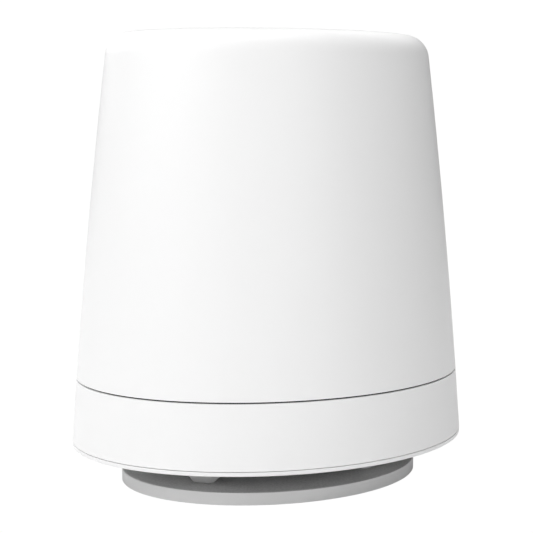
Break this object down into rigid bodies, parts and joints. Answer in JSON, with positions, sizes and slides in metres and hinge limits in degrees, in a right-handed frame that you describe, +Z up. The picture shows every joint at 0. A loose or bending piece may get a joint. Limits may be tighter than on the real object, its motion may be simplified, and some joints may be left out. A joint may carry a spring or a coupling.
{
  "type": "wireless router",
  "caption": "Tall oval tapered wireless router on a raised foot, with a port recess in the back of its lower band and air slots above.",
  "frame": {"origin": "on the resting plane, under the middle of the body", "axes": "+Z up, X along the oval's long axis, +Y towards the back, where the ports are"},
  "size_m": [0.176, 0.1294, 0.1933],
  "materials": {
    "white_plastic": "satin moulded, fine spark grain",
    "foot_plastic": "matt moulded, light grey",
    "pad_rubber": "matt",
    "smoked_plastic": "smoked diffuser",
    "panel_plastic": "matt moulded, mid grey",
    "button_plastic": "satin moulded",
    "black_plastic": "matt moulded, glass filled",
    "frame_plastic": "matt moulded",
    "screw_steel": "zinc plated",
    "shield_steel": "tinned sheet",
    "contact_gold": "gold plated",
    "board_laminate": "solder mask",
    "antenna_laminate": "solder mask",
    "chip_epoxy": "moulded epoxy",
    "sink_aluminium": "extruded, clear anodised",
    "pad_silicone": "soft silicone",
    "coil_ferrite": "pressed ferrite",
    "capacitor_can": "sleeved can",
    "stator_copper": "enamelled copper on a laminated core",
    "lead_sleeve": "smooth sleeve",
    "connector_nylon": "natural nylon",
    "light_lens": "clear epoxy"
  },
  "bodies": {
    "housing": {"upper_shell": "white_plastic", "lower_band": "white_plastic", "base_plate": "white_plastic", "light_ring": "smoked_plastic", "foot": "foot_plastic", "foot_pad": "pad_rubber", "foot_screws": "screw_steel", "shell_screws": "screw_steel", "port_panel": "panel_plastic", "wan_jack": "shield_steel", "lan_jack_1": "shield_steel", "lan_jack_2": "shield_steel", "lan_jack_3": "shield_steel", "socket_cores": "black_plastic", "socket_contacts": "contact_gold", "power_inlet": "black_plastic", "inlet_pin": "shield_steel", "power_switch": "black_plastic", "pair_switch": "black_plastic", "reset_switch": "black_plastic", "main_board": "board_laminate", "board_screws": "screw_steel", "processor": "chip_epoxy", "memory_chips": "chip_epoxy", "flash_chip": "chip_epoxy", "network_chip": "chip_epoxy", "radio_shields": "shield_steel", "thermal_pads": "pad_silicone", "heat_sink": "sink_aluminium", "heat_spreader": "sink_aluminium", "line_transformers": "chip_epoxy", "power_coils": "coil_ferrite", "capacitors": "capacitor_can", "fan_housing": "black_plastic", "fan_stator": "stator_copper", "fan_screws": "screw_steel", "fan_lead": "lead_sleeve", "inner_frame": "frame_plastic", "antenna_connectors": "contact_gold", "light_board": "board_laminate", "lights": "light_lens", "light_lead": "lead_sleeve", "lead_connectors": "connector_nylon", "antenna_1": "antenna_laminate", "antenna_lead_1": "lead_sleeve", "antenna_2": "antenna_laminate", "antenna_lead_2": "lead_sleeve", "antenna_3": "antenna_laminate", "antenna_lead_3": "lead_sleeve", "antenna_4": "antenna_laminate", "antenna_lead_4": "lead_sleeve"},
    "power_button": {"power_button": "button_plastic", "power_plunger": "frame_plastic"},
    "pair_button": {"pair_button": "button_plastic", "pair_plunger": "frame_plastic"},
    "reset_plunger": {"reset_plunger": "frame_plastic"},
    "fan_rotor": {"fan_rotor": "black_plastic", "fan_shaft": "screw_steel"}
  },
  "joints": [
    {"name": "power_button_press", "type": "slide", "parent": "housing", "child": "power_button", "axis": [0, -1, 0], "range_m": [0, 0.0008], "stiffness_N_per_m": 2500},
    {"name": "pair_button_press", "type": "slide", "parent": "housing", "child": "pair_button", "axis": [0, -1, 0], "range_m": [0, 0.0008], "stiffness_N_per_m": 2500},
    {"name": "reset_press", "type": "slide", "parent": "housing", "child": "reset_plunger", "axis": [0, -1, 0], "range_m": [0, 0.0004], "stiffness_N_per_m": 4000},
    {"name": "fan_spin", "type": "hinge", "parent": "housing", "child": "fan_rotor", "pos_m": [0, -0.006, 0.0294], "axis": [0, 0, 1], "continuous": true}
  ]
}
